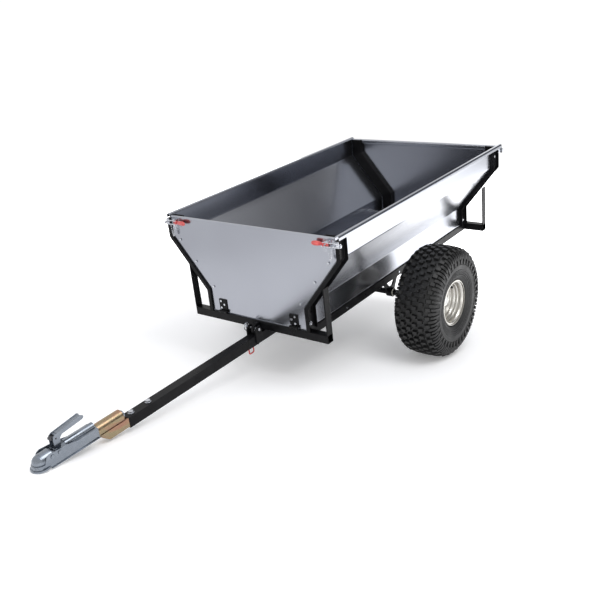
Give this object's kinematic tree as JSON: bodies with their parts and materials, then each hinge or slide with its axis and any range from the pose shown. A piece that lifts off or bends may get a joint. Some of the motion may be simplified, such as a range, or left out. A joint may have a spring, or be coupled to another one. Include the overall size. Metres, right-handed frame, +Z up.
{
  "type": "tow behind cart",
  "caption": "Steel tipping cart towed behind a garden tractor: flared open tub with latched drop gates, knobbly tyres, and a drawbar with a swivelling ball coupler.",
  "frame": {"origin": "centre of the bounding box on the ground, with the cart standing on its tyres and the nose of its coupler", "axes": "+X across to the right wheel, +Y to the rear gate, away from the coupler, +Z up"},
  "size_m": [1.291, 2.8626, 1.0049],
  "materials": {
    "galvanised": "smooth galvanised sheet, soft mirror",
    "frame_black": "glossy black powder coat",
    "bush_nylon": "natural nylon",
    "bright_zinc": "bright zinc plate",
    "red_coating": "dipped red coating",
    "yellow_zinc": "yellow chromate zinc plate",
    "coupler_zinc": "blue-white zinc plate",
    "dark_steel": "dark steel",
    "tyre_rubber": "moulded rubber",
    "rim_silver": "bright silver paint",
    "bearing_steel": "ground steel",
    "cap_white": "white paint"
  },
  "bodies": {
    "chassis": {"axle_bar": "frame_black", "axle_nuts": "bright_zinc", "axle_saddle": "frame_black", "drawbar_tube": "frame_black", "swivel_bracket": "yellow_zinc", "swivel_housing": "yellow_zinc", "drawbar_bolts": "bright_zinc", "latch_lugs": "frame_black", "handle_tab": "frame_black"},
    "tub": {"tub_shell": "galvanised", "front_crossbar": "frame_black", "rear_crossbar": "frame_black", "side_rails": "frame_black", "cross_members": "frame_black", "axle_brackets": "frame_black", "pivot_bushes": "bush_nylon", "front_corner_straps": "frame_black", "rear_corner_straps": "frame_black", "end_posts": "frame_black", "gate_hinge_knuckles": "frame_black", "latch_keepers": "bright_zinc", "latch_tongue": "frame_black", "frame_bolts": "bright_zinc"},
    "front_gate": {"front_gate_sheet": "galvanised", "front_gate_frame": "frame_black", "front_gate_hinges": "frame_black", "front_gate_bolts": "bright_zinc", "front_latch_bases": "bright_zinc"},
    "rear_gate": {"rear_gate_sheet": "galvanised", "rear_gate_frame": "frame_black", "rear_gate_hinges": "frame_black", "rear_gate_bolts": "bright_zinc", "rear_latch_bases": "bright_zinc"},
    "coupler": {"coupler_shell": "coupler_zinc", "swivel_shank": "coupler_zinc", "coupler_rivets": "coupler_zinc"},
    "coupler_lever": {"coupler_lever": "coupler_zinc"},
    "ball_jaw": {"ball_jaw": "dark_steel"},
    "safety_catch": {"safety_catch": "dark_steel"},
    "tip_lock_pin": {"tip_lock_pin": "bright_zinc"},
    "release_handle": {"release_handle": "red_coating"},
    "wheel_left": {"tyre_left": "tyre_rubber", "rim_left": "rim_silver", "hub_left": "rim_silver", "bearings_left": "bearing_steel", "hub_cap_left": "cap_white"},
    "wheel_right": {"tyre_right": "tyre_rubber", "rim_right": "rim_silver", "hub_right": "rim_silver", "bearings_right": "bearing_steel", "hub_cap_right": "cap_white"},
    "latch_lever_fl": {"latch_lever_fl": "red_coating"},
    "latch_bail_fl": {"latch_bail_fl": "bright_zinc"},
    "latch_lever_fr": {"latch_lever_fr": "red_coating"},
    "latch_bail_fr": {"latch_bail_fr": "bright_zinc"},
    "latch_lever_rl": {"latch_lever_rl": "red_coating"},
    "latch_bail_rl": {"latch_bail_rl": "bright_zinc"},
    "latch_lever_rr": {"latch_lever_rr": "red_coating"},
    "latch_bail_rr": {"latch_bail_rr": "bright_zinc"}
  },
  "joints": [
    {"name": "tub_tip", "type": "hinge", "parent": "chassis", "child": "tub", "pos_m": [0, 0.58074, 0.2795], "axis": [-1, 0, 0], "range_deg": [0, 30]},
    {"name": "wheel_left_spin", "type": "hinge", "parent": "chassis", "child": "wheel_left", "pos_m": [-0.5335, 0.58074, 0.2795], "axis": [1, 0, 0], "continuous": true},
    {"name": "wheel_right_spin", "type": "hinge", "parent": "chassis", "child": "wheel_right", "pos_m": [0.5335, 0.58074, 0.2795], "axis": [1, 0, 0], "continuous": true},
    {"name": "front_gate_drop", "type": "hinge", "parent": "tub", "child": "front_gate", "pos_m": [0, -0.18875, 0.26856], "axis": [1, 0, 0], "range_deg": [0, 95]},
    {"name": "rear_gate_drop", "type": "hinge", "parent": "tub", "child": "rear_gate", "pos_m": [0, 1.42308, 0.54873], "axis": [-1, 0, 0], "range_deg": [0, 150]},
    {"name": "latch_fl_swing", "type": "hinge", "parent": "front_gate", "child": "latch_lever_fl", "pos_m": [-0.444, -0.26582, 0.68856], "axis": [0, 0.1713, -0.9852], "range_deg": [0, 100]},
    {"name": "bail_fl_swing", "type": "hinge", "parent": "latch_lever_fl", "child": "latch_bail_fl", "pos_m": [-0.428, -0.2737, 0.68719], "axis": [0, 0.1713, -0.9852], "range_deg": [-100, 0]},
    {"name": "latch_fr_swing", "type": "hinge", "parent": "front_gate", "child": "latch_lever_fr", "pos_m": [0.444, -0.26582, 0.68856], "axis": [0, -0.1713, 0.9852], "range_deg": [0, 100]},
    {"name": "bail_fr_swing", "type": "hinge", "parent": "latch_lever_fr", "child": "latch_bail_fr", "pos_m": [0.428, -0.2737, 0.68719], "axis": [0, -0.1713, 0.9852], "range_deg": [-100, 0]},
    {"name": "latch_rl_swing", "type": "hinge", "parent": "rear_gate", "child": "latch_lever_rl", "pos_m": [-0.444, 1.35389, 0.97011], "axis": [0, -0.1713, 0.9852], "range_deg": [0, 100]},
    {"name": "bail_rl_swing", "type": "hinge", "parent": "latch_lever_rl", "child": "latch_bail_rl", "pos_m": [-0.428, 1.36177, 0.97148], "axis": [0, -0.1713, 0.9852], "range_deg": [-100, 0]},
    {"name": "latch_rr_swing", "type": "hinge", "parent": "rear_gate", "child": "latch_lever_rr", "pos_m": [0.444, 1.35389, 0.97011], "axis": [0, 0.1713, -0.9852], "range_deg": [0, 100]},
    {"name": "bail_rr_swing", "type": "hinge", "parent": "latch_lever_rr", "child": "latch_bail_rr", "pos_m": [0.428, 1.36177, 0.97148], "axis": [0, 0.1713, -0.9852], "range_deg": [-100, 0]},
    {"name": "coupler_swivel", "type": "hinge", "parent": "chassis", "child": "coupler", "pos_m": [0, -1.15077, 0.05718], "axis": [0, 0.9852, 0.1713], "range_deg": [-90, 90]},
    {"name": "coupler_lever_lift", "type": "hinge", "parent": "coupler", "child": "coupler_lever", "pos_m": [0, -1.33174, 0.05313], "axis": [1, 0, 0], "range_deg": [0, 45]},
    {"name": "ball_jaw_swing", "type": "hinge", "parent": "coupler", "child": "ball_jaw", "pos_m": [0, -1.36327, 0.04765], "axis": [1, 0, 0], "range_deg": [0, 18]},
    {"name": "safety_catch_press", "type": "hinge", "parent": "coupler_lever", "child": "safety_catch", "pos_m": [0, -1.33174, 0.09982], "axis": [1, 0, 0], "range_deg": [0, 12], "stiffness_Nm_per_rad": 0.15},
    {"name": "lock_pin_pull", "type": "slide", "parent": "chassis", "child": "tip_lock_pin", "axis": [-1, 0, 0], "range_m": [0, 0.055]},
    {"name": "release_handle_swing", "type": "hinge", "parent": "chassis", "child": "release_handle", "pos_m": [0, -0.23935, 0.14507], "axis": [0, 0.9852, 0.1713], "range_deg": [-70, 70]}
  ],
  "couplings": [
    {"joint": "bail_fl_swing", "follows": "latch_fl_swing", "ratio": -1},
    {"joint": "bail_fr_swing", "follows": "latch_fr_swing", "ratio": -1},
    {"joint": "bail_rl_swing", "follows": "latch_rl_swing", "ratio": -1},
    {"joint": "bail_rr_swing", "follows": "latch_rr_swing", "ratio": -1},
    {"joint": "ball_jaw_swing", "follows": "coupler_lever_lift", "ratio": 0.4}
  ]
}
